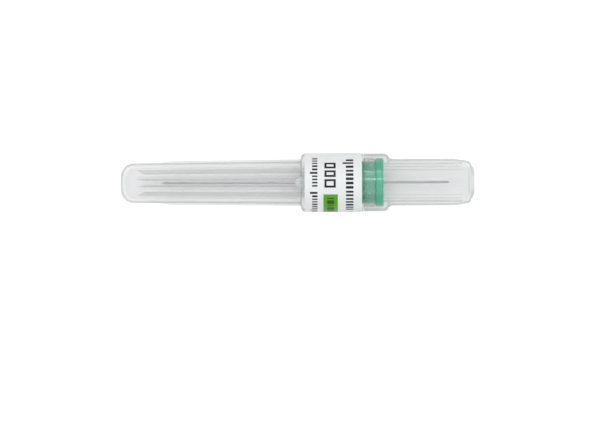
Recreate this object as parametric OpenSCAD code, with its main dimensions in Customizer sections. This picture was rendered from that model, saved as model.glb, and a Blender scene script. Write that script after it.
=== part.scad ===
// A dental needle closed in its two-part shield, lying on its paper label.
// Each piece is drawn along its own axis, cap end at 0 and point upwards, and then laid down
// with the cap towards +X. One outer rib of the sheath is uppermost.

/* [Cannula] */
// Outside diameter of the steel tube, here 27 gauge
cannula_d = 0.41; // [0.3:0.01:0.5]
// Bore of the steel tube
cannula_bore_d = 0.21; // [0.12:0.01:0.24]
// Free length past the glue bead, at the patient end
point_l = 25; // [19:0.5:34]
// Free length past the open face of the hub, at the cartridge end
tail_l = 12.5; // [10:0.5:15]
// Length of the long bevel that makes the point
point_bevel_l = 1.9; // [1.2:0.1:2.4]
// Length of the bevel at the cartridge end
tail_bevel_l = 1.3; // [0.9:0.1:1.8]
// Length of the two side grinds, as a share of the bevel that they sharpen
side_grind = 0.6; // [0.4:0.05:0.8]
// Turn of each side grind away from the bevel
side_turn = 35; // [20:5:50]

/* [Hub] */
// Diameter of the notched flange
flange_d = 9; // [8.7:0.1:10.4]
// Thickness of the flange
flange_t = 1.45; // [1:0.05:2]
// Diameter of the cylinder around the socket
hub_d = 7.9; // [7.4:0.1:8.1]
// Length of the cylinder, from the flange to the cone
hub_l = 5.6; // [5.4:0.1:7]
// Diameter of the fluted cone next to the cylinder
cone_root_d = 5.75; // [5.2:0.05:6.4]
// Diameter of the fluted cone next to the shoulder
cone_top_d = 4.85; // [4.2:0.05:5.2]
// Length of the fluted cone
cone_l = 4.4; // [3.5:0.1:5.5]
// Length of the rounded shoulder between the cone and the neck
hub_shoulder_l = 1.5; // [1.2:0.1:2]
// Diameter of the neck
neck_d = 2.5; // [2.2:0.1:3]
// Length of the neck
neck_l = 1.6; // [1:0.1:2.5]
// Number of flutes on the cone, and of fins in the sheath that enter them
flutes = 8; // [6:1:10]
// Width of a flute
flute_w = 1; // [0.8:0.05:1.1]
// Depth of a flute
flute_depth = 0.4; // [0.3:0.05:0.6]
// Number of V notches across the open face of the flange
notches = 8; // [4:1:12]
// Width of a V notch
notch_w = 0.9; // [0.5:0.1:1.2]
// Depth of a V notch
notch_depth = 0.4; // [0.2:0.05:0.6]
// Smallest diameter of the threaded socket, for an M6 x 0.75 thread
socket_d = 5.3; // [5:0.1:5.8]
// Depth of the threaded socket
socket_l = 6; // [5:0.1:6.2]
// Diameter of the core hole beyond the socket
core_d = 2.8; // [2:0.1:3.2]
// Depth of the core hole beyond the socket
core_l = 2.2; // [1:0.1:3]
// Diameter of the glue well in the neck
well_d = 1.5; // [1.2:0.1:1.7]
// Depth of the glue well
well_l = 4; // [2:0.1:4.5]
// Height of the glue bead above the neck
bead_l = 1.9; // [1.2:0.1:2.5]

/* [Cap] */
// Diameter of the barrel
barrel_d = 8.7; // [8.4:0.1:9.4]
// Wall of the barrel
barrel_wall = 0.85; // [0.7:0.05:1.1]
// Thickness of the closed end
cap_end_t = 0.9; // [0.7:0.05:1.3]
// Free length between the closed end and the cannula
tail_room = 3.6; // [2.5:0.1:6]
// Diameter of the flat on the closed end
foot_d = 4.6; // [3.6:0.1:5.2]
// Slope of the heel around that flat
heel_angle = 27; // [15:1:40]
// Radius between the heel and the barrel
heel_r = 0.8; // [0.4:0.05:1.2]
// Length over which the barrel draws in towards the closed end
barrel_taper_l = 3.7; // [2.6:0.1:4.5]
// How far the barrel draws in on each side
barrel_taper = 0.4; // [0.1:0.05:0.6]
// Radius of the round corner of the floor inside
floor_corner_r = 1.1; // [0.6:0.1:1.6]
// Height of the shoulder between the barrel and the skirt
cap_shoulder_h = 1.8; // [1:0.1:2.6]
// Depth of the skirt, from its mouth to the seat of the hub
skirt_l = 3.65; // [3:0.05:5]
// Wall of the skirt
skirt_wall = 0.8; // [0.6:0.05:1]
// Number of fine flutes inside the barrel
barrel_flutes = 24; // [12:1:28]
// Radius of a fine flute
barrel_flute_r = 0.24; // [0.15:0.01:0.3]

/* [Sheath] */
// Length of the collar, from the seam to its shoulder
collar_l = 11.05; // [10:0.05:14]
// Length of the shoulder between the collar and the tube
sheath_shoulder_l = 1.15; // [0.9:0.05:2.2]
// Diameter of the tube next to the shoulder
tube_root_d = 8; // [7.6:0.05:8.6]
// Diameter of the tube next to the tip
tube_tip_d = 7.4; // [7:0.05:7.8]
// Wall of the tube and of its closed tip
tube_wall = 0.9; // [0.7:0.05:1.1]
// Free length between the point of the cannula and the closed tip
point_room = 6.65; // [4:0.05:10]
// Radius of the rounded tip
tip_corner_r = 2.4; // [1.2:0.1:3]
// Number of outer ribs
ribs = 4; // [3:1:6]
// Width of an outer rib
rib_w = 1.27; // [0.9:0.01:1.6]
// Height of an outer rib
rib_h = 0.34; // [0.2:0.02:0.5]
// Length of plain tube past the outer ribs
plain_tip_l = 6.7; // [5:0.1:10]
// Length over which an outer rib fades out
rib_fade_l = 3; // [2:0.1:5]
// How much nearer the axis the fins come on their way to the tip
fin_draft = 0.25; // [0.1:0.05:0.4]

/* [Label] */
// Width of the label along the collar
label_w = 10.7; // [8:0.1:10.7]
// Thickness of the label paper
label_t = 0.1; // [0.06:0.01:0.2]
// Bare collar between the seam and the label
label_margin = 0.3; // [0.1:0.05:0.4]
// Overlap of the two ends of the label
label_lap = 2.4; // [1:0.1:5]

/* [Fits] */
// Gap between faces that seat on each other
seat_gap = 0.05; // [0.02:0.01:0.1]
// Gap between the mouth of the cap and the collar
seam_gap = 0.1; // [0.05:0.01:0.3]
// Radial gap between the flange and the skirt
flange_gap = 0.1; // [0.05:0.01:0.2]
// Radial gap between the spigot and the skirt
spigot_gap = 0.05; // [0.03:0.01:0.1]
// Radial gap between the hub and the spigot
hub_gap = 0.05; // [0.03:0.01:0.1]
// Gap between a fin and the flute that it enters
fin_gap = 0.15; // [0.1:0.01:0.25]
// Radial gap between a cured or pressed piece and what it fills
glue_gap = 0.015; // [0.01:0.005:0.03]
// Radial gap between the label and the collar
label_gap = 0.02; // [0.01:0.005:0.04]

/* [Hidden] */
$fn = 96;

// Steps in a rounded corner, and how far a cutter or a buried root runs past a face
arc_steps = 8;
cut = 0.5;
root = 0.3;

// Small edge breaks and root fillets
flange_edge = 0.2;
hub_edge = 0.35;
cone_fillet = 0.25;
lead_in = 0.2;
socket_mouth_h = 0.45;

// Heights of the hub, from the closed end of the cap upwards
hub_z = cap_end_t + tail_room + tail_l;
flange_z = hub_z + flange_t;
step_z = flange_z + hub_l;
cone_z = step_z + cone_l;
neck_z = cone_z + hub_shoulder_l;
bead_z = neck_z + neck_l;
point_z = bead_z + bead_l + point_l;
tail_z = hub_z - tail_l;

// Heights of the cap
ledge_z = hub_z - seat_gap;
mouth_z = ledge_z + skirt_l;
cap_shoulder_z = ledge_z - seat_gap - cap_shoulder_h;

// Heights of the sheath
spigot_z = flange_z + seat_gap;
seam_z = mouth_z + seam_gap;
collar_z = seam_z + collar_l;
tube_z = collar_z + sheath_shoulder_l;
tip_z = point_z + point_room + tube_wall;
tube_end_z = tip_z - tip_corner_r;
inner_tip_z = tip_z - tube_wall;
inner_corner_r = max(tip_corner_r - tube_wall, root);
inner_shoulder_z = collar_z - tube_wall;

// Radii
flange_r = flange_d / 2;
hub_r = hub_d / 2;
neck_r = neck_d / 2;
barrel_r = barrel_d / 2;
barrel_bore_r = barrel_r - barrel_wall;
skirt_bore_r = flange_r + flange_gap;
skirt_r = skirt_bore_r + skirt_wall;
spigot_r = skirt_bore_r - spigot_gap;
spigot_bore_r = hub_r + hub_gap;
collar_r = skirt_r;
tube_root_r = tube_root_d / 2;
tube_tip_r = tube_tip_d / 2;
cannula_hole_r = cannula_d / 2 + glue_gap;

// Height in the barrel's bore where the fine flutes start, just above the round corner
barrel_flute_z = cap_end_t + floor_corner_r + barrel_flute_r;

// The needle lies on its label, which is its widest piece
rest_r = collar_r + label_gap + label_t;

// Fins of the sheath, which follow the bottoms of the flutes
flute_turn = 180 / flutes;
fin_w = flute_w - 2 * fin_gap;
fin_root_r = cone_root_d / 2 - flute_depth + fin_gap;
fin_top_r = cone_top_d / 2 - flute_depth + fin_gap;
fin_tip_r = fin_top_r - fin_draft;
fin_z = step_z + fin_gap;

// Radius of the tube's outside at a height, by its draft
function tube_r(z) =
    tube_root_r + (tube_tip_r - tube_root_r) * (z - tube_z) / (tube_end_z - tube_z);

// Points [r, z] of an arc about a centre [r, z], from one angle to another
function arc(centre, radius, from, to) = [
    for (i = [0 : arc_steps])
        let (a = from + (to - from) * i / arc_steps)
            centre + radius * [cos(a), sin(a)]
];

// Points [r, z] of the closed end outside, from the flat up the heel to the parallel barrel.
// The barrel draws in along a wide arc, and the heel's round corner is tangent to both.
function heel() =
    let (
        end_turn = 2 * atan(barrel_taper / barrel_taper_l),
        wide_r = barrel_taper_l / sin(end_turn),
        slope_l = barrel_r - foot_d / 2 - barrel_taper - heel_r * (cos(end_turn) - sin(heel_angle)),
        corner_h = heel_r * (cos(heel_angle) - sin(end_turn)),
        wide_centre = [barrel_r - wide_r, slope_l * tan(heel_angle) + corner_h + barrel_taper_l],
        corner_centre = wide_centre + (wide_r - heel_r) * [cos(end_turn), -sin(end_turn)]
    )
    concat(
        [[foot_d / 2, 0]],
        arc(corner_centre, heel_r, heel_angle - 90, -end_turn),
        arc(wide_centre, wide_r, -end_turn, 0)
    );

// Points [r, z] of two equal arcs that lead smoothly from one radius to another
function ogee(r0, z0, r1, z1) =
    let (
        side = sign(r1 - r0),
        turn = min(90, 2 * atan(abs(r1 - r0) / (z1 - z0))),
        bend = (z1 - z0) / sin(turn) / 2
    )
    concat(
        [for (i = [0 : arc_steps])
            let (a = turn * i / arc_steps)
                [r0 + side * bend * (1 - cos(a)), z0 + bend * sin(a)]],
        [for (i = [1 : arc_steps])
            let (a = turn * (1 - i / arc_steps))
                [r1 - side * bend * (1 - cos(a)), z1 - bend * sin(a)]]
    );

// Lays a piece down on the label, cap end towards +X, with its local +X uppermost
module laid() {
    translate([tip_z / 2, 0, rest_r]) rotate([0, -90, 0]) children();
}

// A solid turned from its outline [r, z]
module turned(outline) {
    rotate_extrude() polygon(outline);
}

// Radial bars around the axis, each as wide as a rib, fin or flute
module bars(count, width, turn, from_z, to_z) {
    for (i = [0 : count - 1])
        rotate([0, 0, turn + 360 * i / count])
            translate([0, -width / 2, from_z])
                cube([collar_r, width, to_z - from_z]);
}

// What lies above a bevel plane through the low edge of a tube end at z = 0, facing +X
module bevel_cutter(length) {
    size = 3 * length;
    rotate([0, atan2(length, cannula_d), 0])
        translate([-size / 2, -size / 2, 0])
            cube(size);
}

// A lancet grind at z = 0: the main bevel and two side grinds that meet at the point
module lancet_cutter(length) {
    translate([-cannula_d / 2, 0, 0]) {
        bevel_cutter(length);
        for (side = [-1, 1])
            rotate([0, 0, side * side_turn])
                bevel_cutter(length * side_grind);
    }
}

module cannula() {
    color("silver")
        laid()
            difference() {
                translate([0, 0, tail_z]) cylinder(h = point_z - tail_z, d = cannula_d);
                translate([0, 0, tail_z - cut])
                    cylinder(h = point_z - tail_z + 2 * cut, d = cannula_bore_d);
                translate([0, 0, point_z]) lancet_cutter(point_bevel_l);
                translate([0, 0, tail_z]) mirror([0, 0, 1]) lancet_cutter(tail_bevel_l);
            }
}

// Cured glue: a plug in the well and a pointed dome as wide as the neck
module adhesive_bead() {
    plug_r = well_d / 2 - glue_gap;
    dome_end = acos(cannula_hole_r / neck_r);
    dome = [
        for (i = [0 : 2 * arc_steps])
            let (a = dome_end * i / (2 * arc_steps))
                [neck_r * cos(a), bead_z + bead_l * sin(a)]
    ];
    color("whitesmoke")
        laid()
            turned(concat(
                [
                    [cannula_hole_r, bead_z - well_l + glue_gap],
                    [plug_r, bead_z - well_l + glue_gap],
                    [plug_r, bead_z]
                ],
                dome
            ));
}

module hub() {
    color("mediumseagreen")
        laid()
            difference() {
                turned(hub_outline());
                hub_flutes();
                hub_bores();
                flange_notches();
            }
}

// Outside of the hub: flange, cylinder, cone, shoulder and neck
function hub_outline() = concat(
    [
        [0, hub_z],
        [flange_r - flange_edge, hub_z],
        [flange_r, hub_z + flange_edge],
        [flange_r, flange_z - flange_edge],
        [flange_r - flange_edge, flange_z],
        [hub_r, flange_z],
        [hub_r, step_z - hub_edge],
        [hub_r - hub_edge, step_z],
        [cone_root_d / 2 + cone_fillet, step_z],
        [cone_root_d / 2, step_z + cone_fillet]
    ],
    ogee(cone_top_d / 2, cone_z, neck_r, neck_z),
    [[neck_r, bead_z], [0, bead_z]]
);

// Flutes along the cone, with a sloped start above the step, open through the shoulder
module hub_flutes() {
    intersection() {
        turned([
            [cone_root_d / 2 + cone_fillet, step_z + cone_fillet],
            [cone_root_d / 2 - flute_depth, step_z + cone_fillet + flute_depth],
            [cone_top_d / 2 - flute_depth, cone_z],
            [cone_top_d / 2 - flute_depth, neck_z],
            [hub_r, neck_z],
            [hub_r, step_z + cone_fillet]
        ]);
        bars(flutes, flute_w, flute_turn, step_z, neck_z + cut);
    }
}

// Countersunk socket, core hole, cannula hole and glue well on one axis
module hub_bores() {
    mouth_d = socket_d + 2 * socket_mouth_h;
    translate([0, 0, hub_z - cut]) cylinder(h = socket_l + cut, d = socket_d);
    translate([0, 0, hub_z - cut]) cylinder(h = cut, d = mouth_d);
    translate([0, 0, hub_z]) cylinder(h = socket_mouth_h, d1 = mouth_d, d2 = socket_d);
    translate([0, 0, hub_z + cut]) cylinder(h = socket_l + core_l - cut, d = core_d);
    translate([0, 0, hub_z + cut]) cylinder(h = bead_z - hub_z, r = cannula_hole_r);
    translate([0, 0, bead_z - well_l]) cylinder(h = well_l + cut, d = well_d);
}

// V notches across the open face of the flange, from the rim inwards
module flange_notches() {
    for (i = [0 : notches - 1])
        rotate([0, 0, (i + 0.5) * 360 / notches])
            translate([0, 0, hub_z])
                rotate([90, 0, 90])
                    linear_extrude(height = flange_r + cut)
                        polygon([[-notch_w / 2 - cut, -cut], [0, notch_depth], [notch_w / 2 + cut, -cut]]);
}

module cap() {
    color("gainsboro", 0.6)
        laid()
            difference() {
                turned(cap_outline());
                barrel_flutes();
            }
}

// Section of the cap: foot, barrel, shoulder and skirt outside, skirt bore, seat and barrel inside
function cap_outline() = concat(
    [[0, 0]],
    heel(),
    ogee(barrel_r, cap_shoulder_z, skirt_r, cap_shoulder_z + cap_shoulder_h),
    [
        [skirt_r, mouth_z],
        [skirt_bore_r + lead_in, mouth_z],
        [skirt_bore_r, mouth_z - lead_in],
        [skirt_bore_r, ledge_z],
        [barrel_bore_r, ledge_z]
    ],
    arc(
        [barrel_bore_r - floor_corner_r, cap_end_t + floor_corner_r],
        floor_corner_r, 0, -90
    ),
    [[0, cap_end_t]]
);

// Fine flutes in the bore of the barrel, open at the seat of the hub
module barrel_flutes() {
    for (i = [0 : barrel_flutes - 1])
        rotate([0, 0, 360 * (i + 0.5) / barrel_flutes])
            translate([barrel_bore_r, 0, barrel_flute_z])
                cylinder(h = ledge_z - barrel_flute_z + cut, r = barrel_flute_r, $fn = 24);
}

module sheath() {
    color("gainsboro", 0.6)
        laid()
            union() {
                turned(sheath_outline());
                intersection() {
                    turned(rib_outline());
                    bars(ribs, rib_w, 0, collar_z, tip_z);
                }
                intersection() {
                    turned(fin_outline());
                    bars(flutes, fin_w, flute_turn, fin_z, inner_tip_z);
                }
            }
}

// Section of the sheath: spigot, collar, shoulder, tube and tip outside, one tapering bore inside
function sheath_outline() = concat(
    [
        [spigot_bore_r, spigot_z],
        [spigot_r - lead_in, spigot_z],
        [spigot_r, spigot_z + lead_in],
        [spigot_r, seam_z],
        [collar_r, seam_z]
    ],
    ogee(collar_r, collar_z, tube_root_r, tube_z),
    arc([tube_tip_r - tip_corner_r, tube_end_z], tip_corner_r, 0, 90),
    [[0, tip_z], [0, inner_tip_z]],
    arc(
        [tube_tip_r - tube_wall - inner_corner_r, inner_tip_z - inner_corner_r],
        inner_corner_r, 90, 0
    ),
    [for (i = [2 * arc_steps : -1 : 0]) inner_shoulder()[i]]
);

function inner_shoulder() =
    ogee(
        spigot_bore_r, inner_shoulder_z,
        tube_root_r - tube_wall, inner_shoulder_z + sheath_shoulder_l
    );

// Height profile of the outer ribs: a fillet up the shoulder, the tube's draft, a fading end
function rib_outline() =
    let (
        fillet_r = sheath_shoulder_l * 0.55,
        fillet_z = tube_z - rib_h / 8,
        foot_r = tube_root_r + rib_h,
        fade_z = tip_z - plain_tip_l - rib_fade_l,
        sink = rib_h / 2,
        end_z = fade_z + rib_fade_l * (1 + sink / rib_h)
    )
    concat(
        [
            [tube_tip_r - root, collar_z + root],
            [foot_r + fillet_r - root, collar_z + root]
        ],
        [for (i = [0 : arc_steps])
            let (a = 90 * (1 - i / arc_steps))
                [foot_r + fillet_r * (1 - cos(a)), fillet_z - fillet_r * sin(a)]],
        [
            [tube_r(fade_z) + rib_h, fade_z],
            [tube_r(end_z) - sink, end_z],
            [tube_tip_r - root - sink, end_z]
        ]
    );

// Height profile of the fins: a sloped start clear of the hub, then ever nearer the axis
function fin_outline() = [
    [spigot_bore_r + root, fin_z],
    [spigot_bore_r, fin_z],
    [fin_root_r, step_z + cone_fillet + flute_depth],
    [fin_top_r, cone_z],
    [fin_tip_r, inner_tip_z - inner_corner_r - fin_tip_r],
    [tube_tip_r - tube_wall + root, inner_tip_z - inner_corner_r],
    [tube_root_r - tube_wall + root, inner_shoulder_z + sheath_shoulder_l],
    [spigot_bore_r + root, inner_shoulder_z]
];

// Paper band round the collar, with its two ends lapped
module label() {
    inner_r = collar_r + label_gap;
    lap_angle = label_lap / inner_r * 180 / PI;
    lap_turn = 135 - lap_angle / 2;
    color("white")
        laid()
            translate([0, 0, seam_z + label_margin]) {
                rotate_extrude()
                    translate([inner_r, 0]) square([label_t, label_w]);
                rotate([0, 0, lap_turn])
                    rotate_extrude(angle = lap_angle)
                        translate([inner_r + label_t / 2, 0]) square([label_t * 1.5, label_w]);
            }
}

cap();
sheath();
label();
hub();
adhesive_bead();
cannula();
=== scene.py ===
"""A capped dental needle, lying on its label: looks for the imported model, in metres."""
import math
import random

import bmesh
import bpy
from mathutils import Matrix, Vector


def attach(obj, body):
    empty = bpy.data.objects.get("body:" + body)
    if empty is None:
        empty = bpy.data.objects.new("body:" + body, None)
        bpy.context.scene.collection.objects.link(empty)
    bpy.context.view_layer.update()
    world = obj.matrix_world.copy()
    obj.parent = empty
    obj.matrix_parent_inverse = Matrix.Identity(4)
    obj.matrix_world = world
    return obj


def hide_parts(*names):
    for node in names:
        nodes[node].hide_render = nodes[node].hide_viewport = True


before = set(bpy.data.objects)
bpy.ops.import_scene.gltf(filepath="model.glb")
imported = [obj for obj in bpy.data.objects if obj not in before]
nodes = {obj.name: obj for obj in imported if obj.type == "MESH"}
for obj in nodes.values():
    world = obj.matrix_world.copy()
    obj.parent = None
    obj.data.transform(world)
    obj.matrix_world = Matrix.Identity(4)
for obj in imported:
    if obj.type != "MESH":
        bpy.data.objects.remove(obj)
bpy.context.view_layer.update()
random.seed(27)

MM = 0.001
NEEDLE_L = 66.0  # mm, the closed needle
AXIS_H = 5.52  # mm, its axis above the floor

# From the needle's own axis, in mm, cap end at 0 and point upwards, to where it lies, in metres.
LAID = Matrix((
    (0, 0, -MM, NEEDLE_L / 2 * MM),
    (0, MM, 0, 0),
    (MM, 0, 0, AXIS_H * MM),
    (0, 0, 0, 1),
))


# Node materials

def new_material(name, **values):
    """A material with its Principled shader set, its node tree and that shader."""
    mat = bpy.data.materials.new(name)
    mat.use_nodes = True
    shader = mat.node_tree.nodes["Principled BSDF"]
    for key, value in values.items():
        shader.inputs[key.replace("_", " ")].default_value = value
    return mat, mat.node_tree, shader


def coordinates(tree, scale):
    """Object coordinates, stretched along each axis by a scale in 1/m."""
    source = tree.nodes.new("ShaderNodeTexCoord")
    mapping = tree.nodes.new("ShaderNodeMapping")
    mapping.inputs["Scale"].default_value = scale
    tree.links.new(source.outputs["Object"], mapping.inputs["Vector"])
    return mapping.outputs["Vector"]


def noise(tree, scale, detail=3.0, roughness=0.5):
    """A noise value around 0.5, with its scale along each axis in 1/m."""
    node = tree.nodes.new("ShaderNodeTexNoise")
    node.inputs["Scale"].default_value = 1.0
    node.inputs["Detail"].default_value = detail
    node.inputs["Roughness"].default_value = roughness
    tree.links.new(coordinates(tree, scale), node.inputs["Vector"])
    return node.outputs["Fac"]


def spread(tree, value, low, high, from_low=0.3, from_high=0.7):
    """A value mapped from one range to another; the first one is where noise mostly lies."""
    node = tree.nodes.new("ShaderNodeMapRange")
    node.inputs["From Min"].default_value = from_low
    node.inputs["From Max"].default_value = from_high
    node.inputs["To Min"].default_value = low
    node.inputs["To Max"].default_value = high
    tree.links.new(value, node.inputs["Value"])
    return node.outputs["Result"]


def two_tone(tree, value, dark, light):
    """A noise value mapped between two colours."""
    ramp = tree.nodes.new("ShaderNodeValToRGB")
    ramp.color_ramp.elements[0].position = 0.3
    ramp.color_ramp.elements[0].color = (*dark, 1)
    ramp.color_ramp.elements[1].position = 0.7
    ramp.color_ramp.elements[1].color = (*light, 1)
    tree.links.new(value, ramp.inputs["Fac"])
    return ramp.outputs["Color"]


def surface(tree, shader, value, tones, roughness):
    """Lets the base colour and the roughness follow one noise value."""
    tree.links.new(two_tone(tree, value, *tones), shader.inputs["Base Color"])
    tree.links.new(spread(tree, value, *roughness), shader.inputs["Roughness"])


def bump(tree, shader, value, height, strength=1.0):
    """Lets the surface rise with a noise value, by up to a height in metres."""
    node = tree.nodes.new("ShaderNodeBump")
    node.inputs["Strength"].default_value = strength
    node.inputs["Distance"].default_value = height
    tree.links.new(value, node.inputs["Height"])
    tree.links.new(node.outputs["Normal"], shader.inputs["Normal"])


def shield_plastic(name, gloss, alpha, edge, tones):
    """Natural polypropylene as a thin milky skin, denser where it is seen edge-on; given dark
    tones, that dense edge is a painted shaded outline.

    The alpha goes from the first value to the second between two values of Facing."""
    mat, tree, shader = new_material(name, Coat_Roughness=0.09, Coat_IOR=2.0, **gloss)
    weight = tree.nodes.new("ShaderNodeLayerWeight")
    weight.inputs["Blend"].default_value = 0.5
    veil = spread(tree, weight.outputs["Facing"], *alpha, *edge)
    tree.links.new(veil, shader.inputs["Alpha"])
    haze = noise(tree, (150, 150, 150), 2.0)
    tree.links.new(two_tone(tree, haze, *tones), shader.inputs["Base Color"])
    flow = noise(tree, (15, 500, 500), 2.0)
    tree.links.new(spread(tree, flow, 0.09, 0.12), shader.inputs["Roughness"])
    return mat


def hub_plastic():
    """Green polypropylene, a little translucent."""
    mat, tree, shader = new_material("hub_plastic", IOR=1.49, Transmission_Weight=0.15)
    tone = noise(tree, (300, 300, 300))
    surface(tree, shader, tone, ((0.0, 0.46, 0.26), (0.0, 0.54, 0.31)), (0.22, 0.32))
    bump(tree, shader, noise(tree, (2500, 2500, 2500), 2.0), 3e-6)
    return mat


def adhesive():
    """Cured glue: milky and slightly uneven."""
    mat, tree, shader = new_material("adhesive", IOR=1.5, Transmission_Weight=0.1)
    tone = noise(tree, (900, 900, 900))
    surface(tree, shader, tone, ((0.84, 0.87, 0.87), (0.92, 0.94, 0.94)), (0.12, 0.3))
    bump(tree, shader, tone, 2e-5)
    return mat


def steel():
    """Drawn stainless tube, with fine lines along it."""
    mat, tree, shader = new_material("steel", Metallic=1.0)
    lines = noise(tree, (300, 25000, 25000), 4.0, 0.6)
    surface(tree, shader, lines, ((0.28, 0.29, 0.3), (0.46, 0.47, 0.48)), (0.22, 0.42))
    bump(tree, shader, lines, 3e-6, 0.6)
    return mat


def label_paper():
    """Coated white paper with a faint fibre."""
    mat, tree, shader = new_material("label_paper", IOR=1.3, Transmission_Weight=0.15)
    fibre = noise(tree, (2500, 7000, 7000), 5.0, 0.65)
    surface(tree, shader, fibre, ((0.91, 0.93, 0.92), (0.96, 0.975, 0.97)), (0.38, 0.55))
    bump(tree, shader, fibre, 6e-6, 0.7)
    return mat


def ink(name, dark, light):
    """Printing ink, a little uneven where the paper took it."""
    mat, tree, shader = new_material(name, Specular_IOR_Level=0.3)
    grain = noise(tree, (9000, 9000, 9000))
    surface(tree, shader, grain, (dark, light), (0.3, 0.45))
    bump(tree, shader, grain, 2e-6, 0.5)
    return mat


# What the floor gives off, and its base colour where the camera sees it bare
FLOOR_GLOW = 0.26
BARE_GLOW = 0.92
BARE_TONE = (0.15, 0.15, 0.15, 1)


def backdrop():
    """White board with a faint grain. The camera sees it burnt out, as the photo's ground is."""
    mat, tree, shader = new_material("floor_white", Emission_Color=(1, 1, 1, 1))
    path = tree.nodes.new("ShaderNodeLightPath")
    unveiled = spread(tree, path.outputs["Transparent Depth"], 1.0, 0.0, 0.0, 1.0)
    bare = tree.nodes.new("ShaderNodeMath")
    bare.operation = "MULTIPLY"
    tree.links.new(path.outputs["Is Camera Ray"], bare.inputs[0])
    tree.links.new(unveiled, bare.inputs[1])
    glow = spread(tree, bare.outputs["Value"], FLOOR_GLOW, BARE_GLOW, 0.0, 1.0)
    tree.links.new(glow, shader.inputs["Emission Strength"])
    grain = noise(tree, (40, 40, 40))
    board = two_tone(tree, grain, (0.68, 0.68, 0.68), (0.7, 0.7, 0.7))
    tone = tree.nodes.new("ShaderNodeMix")
    tone.data_type = "RGBA"
    tone.inputs["B"].default_value = BARE_TONE
    tree.links.new(bare.outputs["Value"], tone.inputs["Factor"])
    tree.links.new(board, tone.inputs["A"])
    tree.links.new(tone.outputs["Result"], shader.inputs["Base Color"])
    tree.links.new(spread(tree, grain, 0.7, 0.8), shader.inputs["Roughness"])
    return mat


# Putting pieces and materials in place

SKIN_OFF = 1e-6  # metres, how far off its face a test ray starts


def wear(obj, *mats):
    """Gives a piece these materials, and all its faces the first."""
    obj.data.materials.clear()
    for mat in mats:
        obj.data.materials.append(mat)


def clad(obj, outer, inner):
    """Puts one skin on the faces that look outwards, and the other on those that look inside."""
    wear(obj, outer, inner)
    for face in obj.data.polygons:
        inside = obj.ray_cast(face.center + face.normal * SKIN_OFF, face.normal)[0]
        face.material_index = 1 if inside else 0


def add_piece(name, mesh, body, node):
    """Links a new piece that stands for a CAD node."""
    obj = bpy.data.objects.new(name, mesh)
    bpy.context.scene.collection.objects.link(obj)
    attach(obj, body)
    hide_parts(node)
    return obj


# The hub with its M6 x 0.75 internal thread, in mm and degrees

HUB_Z = 17.0  # the open face, above the closed end of the cap
SOCKET_L = 6.0
THREAD_PITCH = 0.75
THREAD_CREST_R = 2.65
THREAD_ROOT_R = 3.02
FLANK_ANGLE = 30
TURN_STEPS = 48
GROOVE_LEAD = 0.35  # how far outside the open face the groove starts
GROOVE_PROUD = 0.1  # how far inside the crests the cutter reaches
EXTRA_TURNS = 0.6  # past the socket's length over the pitch
FADE_TURNS = 0.5  # over which the groove runs out
FADE_END = 0.05  # what is left of its depth there
HUB_SHARP = 28  # edges sharper than this aren't smoothed


def thread_cutter():
    """A closed V groove, wound right-handed along the socket, in mm."""
    inner_r = THREAD_CREST_R - GROOVE_PROUD
    root_w = THREAD_PITCH / 8
    mouth_w = root_w + 2 * (THREAD_ROOT_R - inner_r) * math.tan(math.radians(FLANK_ANGLE))
    profile = (
        (inner_r, -mouth_w / 2),
        (THREAD_ROOT_R, -root_w / 2),
        (THREAD_ROOT_R, root_w / 2),
        (inner_r, mouth_w / 2),
    )
    count = int(TURN_STEPS * (SOCKET_L / THREAD_PITCH + EXTRA_TURNS))
    bm = bmesh.new()
    rings = []
    for i in range(count + 1):
        a = 2 * math.pi * i / TURN_STEPS
        z = HUB_Z - GROOVE_LEAD + THREAD_PITCH * i / TURN_STEPS
        fade = min(1.0, FADE_END + (count - i) / TURN_STEPS / FADE_TURNS)
        ring = []
        for r, w in profile:
            reach = inner_r + (r - inner_r) * fade
            ring.append(bm.verts.new((reach * math.cos(a), reach * math.sin(a), z + w)))
        rings.append(ring)
    for one, two in zip(rings, rings[1:]):
        for k in range(4):
            j = (k + 1) % 4
            bm.faces.new((one[k], one[j], two[j], two[k]))
    bm.faces.new(rings[0])
    bm.faces.new(rings[-1])
    bmesh.ops.triangulate(bm, faces=bm.faces)
    bmesh.ops.recalc_face_normals(bm, faces=bm.faces)
    mesh = bpy.data.meshes.new("thread_cutter")
    bm.to_mesh(mesh)
    bm.free()
    return mesh


def threaded_hub():
    """The CAD hub with the thread cut into its socket."""
    mesh = nodes["hub"].data.copy()
    mesh.transform(LAID.inverted())
    bm = bmesh.new()
    bm.from_mesh(mesh)
    bmesh.ops.remove_doubles(bm, verts=bm.verts, dist=1e-4)
    bm.to_mesh(mesh)
    bm.free()
    blank = bpy.data.objects.new("hub_blank", mesh)
    cutter = bpy.data.objects.new("hub_cutter", thread_cutter())
    for obj in (blank, cutter):
        bpy.context.scene.collection.objects.link(obj)
    cut = blank.modifiers.new("thread", "BOOLEAN")
    cut.operation, cut.solver, cut.object = "DIFFERENCE", "EXACT", cutter
    bpy.context.view_layer.update()
    depsgraph = bpy.context.evaluated_depsgraph_get()
    made = bpy.data.meshes.new_from_object(blank.evaluated_get(depsgraph))
    for obj in (blank, cutter):
        bpy.data.objects.remove(obj)
    made.name = "hub_threaded"
    made.transform(LAID)
    for name in ("custom_normal", "sharp_face", "sharp_edge"):
        if name in made.attributes:
            made.attributes.remove(made.attributes[name])
    made.polygons.foreach_set("use_smooth", [True] * len(made.polygons))
    made.set_sharp_from_angle(angle=math.radians(HUB_SHARP))
    return made


# The label and its print, as cells of one band, in mm and degrees

LABEL_Z = 21.0
LABEL_W = 10.7
LABEL_R = 5.42  # inside
LABEL_T = 0.1
LAP_W = 2.4
LAP_TURN = 135
LABEL_SHARP = 30  # edges sharper than this aren't smoothed
CELL = 0.1
PAPER, BLACK, GREEN, DARK_GREEN = 0, 1, 2, 3

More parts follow.
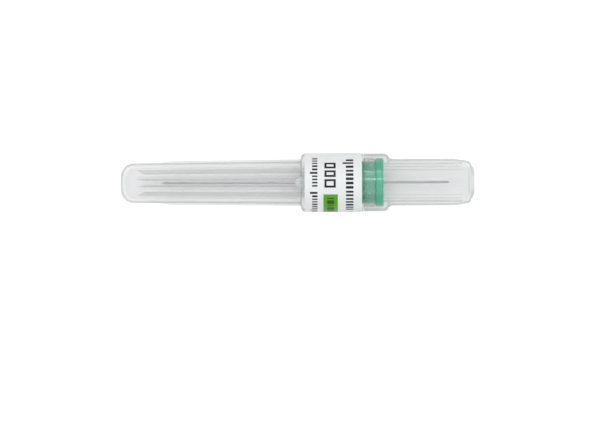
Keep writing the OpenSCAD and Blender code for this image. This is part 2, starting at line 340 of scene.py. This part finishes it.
# Lines of bars: start round the band, foot along it, height, widths, gaps, group gap, rise
BAR_ROWS = (
    (-4.9, 22.6, 1.4, (0.4, 0.5), (0.3, 0.4), 0.9, 0.6),
    (9.6, 25.6, 0.5, (0.1, 0.2), (0.2, 0.3), 0.5, 0.0),
    (9.6, 26.5, 0.5, (0.1, 0.2), (0.2, 0.3), 0.5, 0.0),
    (9.6, 27.4, 0.5, (0.1, 0.2), (0.2, 0.3), 0.5, 0.0),
    (-5.3, 29.3, 1.0, (0.3, 0.4), (0.3,), 0.7, 0.4),
)
BARS_END = 19.0
BAR_GROUP = (8, 16)
RISING_SHARE = 0.2

# Start and width round the band of the hollow boxes and of the bars in the green field
BOXES = ((-4.0, 1.3), (-2.3, 1.3), (-0.6, 1.6))
BOX_LINE = 0.4
FIELD_BARS = ((3.0, 0.3), (3.6, 1.0), (4.9, 0.3), (5.5, 1.0), (6.8, 0.8))


def label_cells():
    """What each cell of the band is printed with: {(round, along): ink}."""
    cells = {}

    def block(a, b, z0, z1, what):
        """From a to b round the band, from the top towards the front, and z0 to z1 along it."""
        for i in range(round(a / CELL), round(b / CELL)):
            for k in range(round((z0 - LABEL_Z) / CELL), round((z1 - LABEL_Z) / CELL)):
                cells[i, k] = what

    for a, z0, height, widths, gaps, group_gap, rise in BAR_ROWS:
        left = random.randint(*BAR_GROUP)
        while a < BARS_END:
            w = random.choice(widths)
            up = rise if random.random() < RISING_SHARE else 0.0
            block(a, min(a + w, BARS_END), z0, z0 + height + up, BLACK)
            a += w + random.choice(gaps)
            left -= 1
            if left == 0:
                a += group_gap
                left = random.randint(*BAR_GROUP)
    for a, w in BOXES:
        block(a, a + w, 25.9, 28.0, BLACK)
        block(a + BOX_LINE, a + w - BOX_LINE, 25.9 + BOX_LINE, 28.0 - BOX_LINE, PAPER)
    block(2.3, 8.2, 25.5, 28.2, GREEN)
    for a, w in FIELD_BARS:
        block(a, a + w, 26.2, 27.5, DARK_GREEN)
    return cells


def printed_label():
    """The paper band: a grid of cells outside, a plain bore, and the lap as a thicker stretch."""
    outer = LABEL_R + LABEL_T
    columns = round(2 * math.pi * outer / CELL)
    rows = round(LABEL_W / CELL)
    lap_half = LAP_W / LABEL_R / 2

    def point(i, z, r):
        a = -2 * math.pi * i / columns
        return LAID @ Vector((r * math.cos(a), r * math.sin(a), z))

    def outer_r(i):
        a = -2 * math.pi * i / columns
        off = abs((a - math.radians(LAP_TURN) + math.pi) % (2 * math.pi) - math.pi)
        return outer + LABEL_T if off < lap_half else outer

    cells = label_cells()
    bm = bmesh.new()
    shell = [
        [bm.verts.new(point(i, LABEL_Z + k * CELL, outer_r(i))) for k in range(rows + 1)]
        for i in range(columns)]
    bore = [
        [bm.verts.new(point(i, LABEL_Z + k * LABEL_W, LABEL_R)) for k in (0, 1)]
        for i in range(columns)]
    for i in range(columns):
        j = (i + 1) % columns
        # The print runs from before the top to past half way round, so both counts are tried.
        signed = i if i < columns / 2 else i - columns
        for k in range(rows):
            face = bm.faces.new((shell[i][k], shell[i][k + 1], shell[j][k + 1], shell[j][k]))
            for place in (signed, i):
                face.material_index = cells.get((place, k), face.material_index)
        bm.faces.new((bore[i][0], bore[j][0], bore[j][1], bore[i][1]))
        bm.faces.new((shell[i][0], shell[j][0], bore[j][0], bore[i][0]))
        bm.faces.new((shell[i][rows], bore[i][1], bore[j][1], shell[j][rows]))
    for face in bm.faces:
        face.smooth = True
    mesh = bpy.data.meshes.new("label_printed")
    bm.to_mesh(mesh)
    bm.free()
    mesh.set_sharp_from_angle(angle=math.radians(LABEL_SHARP))
    return mesh


# Dress the pieces. The outer skin's gloss is raised, because its alpha weakens it.

# The outer skin's dark tones are painted shade. Where that skin is dense, seen edge-on, they draw
# a grey shaded outline round the cap and sheath. The inside skin has the plastic's own milky
# tone.
shaded_outer_skin = shield_plastic(
    "shield_plastic", {"IOR": 1.8, "Specular_IOR_Level": 1.0, "Coat_Weight": 1.0},
    (0.06, 0.95), (0.5, 0.93), ((0.23, 0.255, 0.24), (0.27, 0.295, 0.28)))
inner_skin = shield_plastic(
    "shield_plastic_inside", {"IOR": 1.5, "Specular_IOR_Level": 0.5, "Coat_Weight": 0.0},
    (0.09, 0.2), (0.6, 0.93), ((0.86, 0.92, 0.89), (0.9, 0.96, 0.93)))
for name in ("cap", "sheath"):
    clad(nodes[name], shaded_outer_skin, inner_skin)
wear(nodes["adhesive_bead"], adhesive())
wear(nodes["cannula"], steel())

hub_piece = add_piece("threaded_hub", threaded_hub(), "needle", "hub")
wear(hub_piece, hub_plastic())

label_piece = add_piece("printed_label", printed_label(), "sheath", "label")
for mat in (
    label_paper(),
    ink("ink_black", (0.006, 0.007, 0.007), (0.016, 0.018, 0.018)),
    ink("ink_green", (0.09, 0.33, 0.008), (0.12, 0.4, 0.012)),
    ink("ink_dark_green", (0.015, 0.09, 0.01), (0.025, 0.12, 0.015)),
):
    label_piece.data.materials.append(mat)


# Floor and light

def add_floor(name, size, mat):
    """A square floor that isn't part of the object."""
    mesh = bpy.data.meshes.new(name)
    s = size / 2
    mesh.from_pydata([(-s, -s, 0), (s, -s, 0), (s, s, 0), (-s, s, 0)], [], [(0, 1, 2, 3)])
    mesh.materials.append(mat)
    obj = bpy.data.objects.new(name, mesh)
    bpy.context.scene.collection.objects.link(obj)


def add_light(name, watts, width, length, turn, distance):
    """A soft box along the needle, turned from straight above towards the top of the picture."""
    data = bpy.data.lights.new(name, "AREA")
    data.shape = "RECTANGLE"
    data.size, data.size_y = length, width
    data.energy = watts
    obj = bpy.data.objects.new(name, data)
    a = math.radians(turn)
    aim = Vector((0, 0, AXIS_H * MM))
    obj.location = Vector((0, math.sin(a), math.cos(a))) * distance + aim
    obj.rotation_euler = (-a, 0, 0)
    bpy.context.scene.collection.objects.link(obj)


def light_world(low, high, high_at):
    """Even light from all round, dimmer from the horizon and below than from above."""
    world = bpy.data.worlds.new("studio")
    bpy.context.scene.world = world
    world.use_nodes = True
    tree = world.node_tree
    background = tree.nodes["Background"]
    background.inputs["Strength"].default_value = 1.0
    direction = tree.nodes.new("ShaderNodeTexCoord")
    split = tree.nodes.new("ShaderNodeSeparateXYZ")
    tree.links.new(direction.outputs["Generated"], split.inputs["Vector"])
    sky = tree.nodes.new("ShaderNodeValToRGB")
    sky.color_ramp.elements[0].position = 0.0
    sky.color_ramp.elements[0].color = (*low, 1)
    sky.color_ramp.elements[1].position = high_at
    sky.color_ramp.elements[1].color = (*high, 1)
    tree.links.new(split.outputs["Z"], sky.inputs["Fac"])
    tree.links.new(sky.outputs["Color"], background.inputs["Color"])


add_floor("floor", 4.0, backdrop())
add_light("strip_top", 0.4, 0.025, 0.25, 14, 0.7)
add_light("strip_back", 0.34, 0.025, 0.25, 45, 0.6)
add_light("strip_front", 0.3, 0.04, 0.9, -44, 0.6)
light_world((0.17, 0.175, 0.18), (1.0, 1.02, 1.03), 0.75)


# The camera looks straight down, placed so that the needle lies where it does in the photo.

PHOTO_W = 596  # px
PX_PER_MM = 5.35
CAMERA_H = 1.2  # metres above the needle's axis
SENSOR_W = 36
OFF_X, OFF_Y = 0.05, -7.64  # mm
ROLL = -0.21  # degrees

camera = bpy.data.objects.new("camera", bpy.data.cameras.new("camera"))
camera.data.sensor_width = SENSOR_W
camera.data.lens = SENSOR_W * CAMERA_H / (PHOTO_W / PX_PER_MM * MM)
camera.location = (OFF_X * MM, OFF_Y * MM, AXIS_H * MM + CAMERA_H)
camera.rotation_euler = (0, 0, math.radians(ROLL))
camera.data.clip_start, camera.data.clip_end = 0.05, 10
bpy.context.scene.collection.objects.link(camera)
bpy.context.scene.camera = camera
bpy.context.scene.view_settings.view_transform = "Standard"
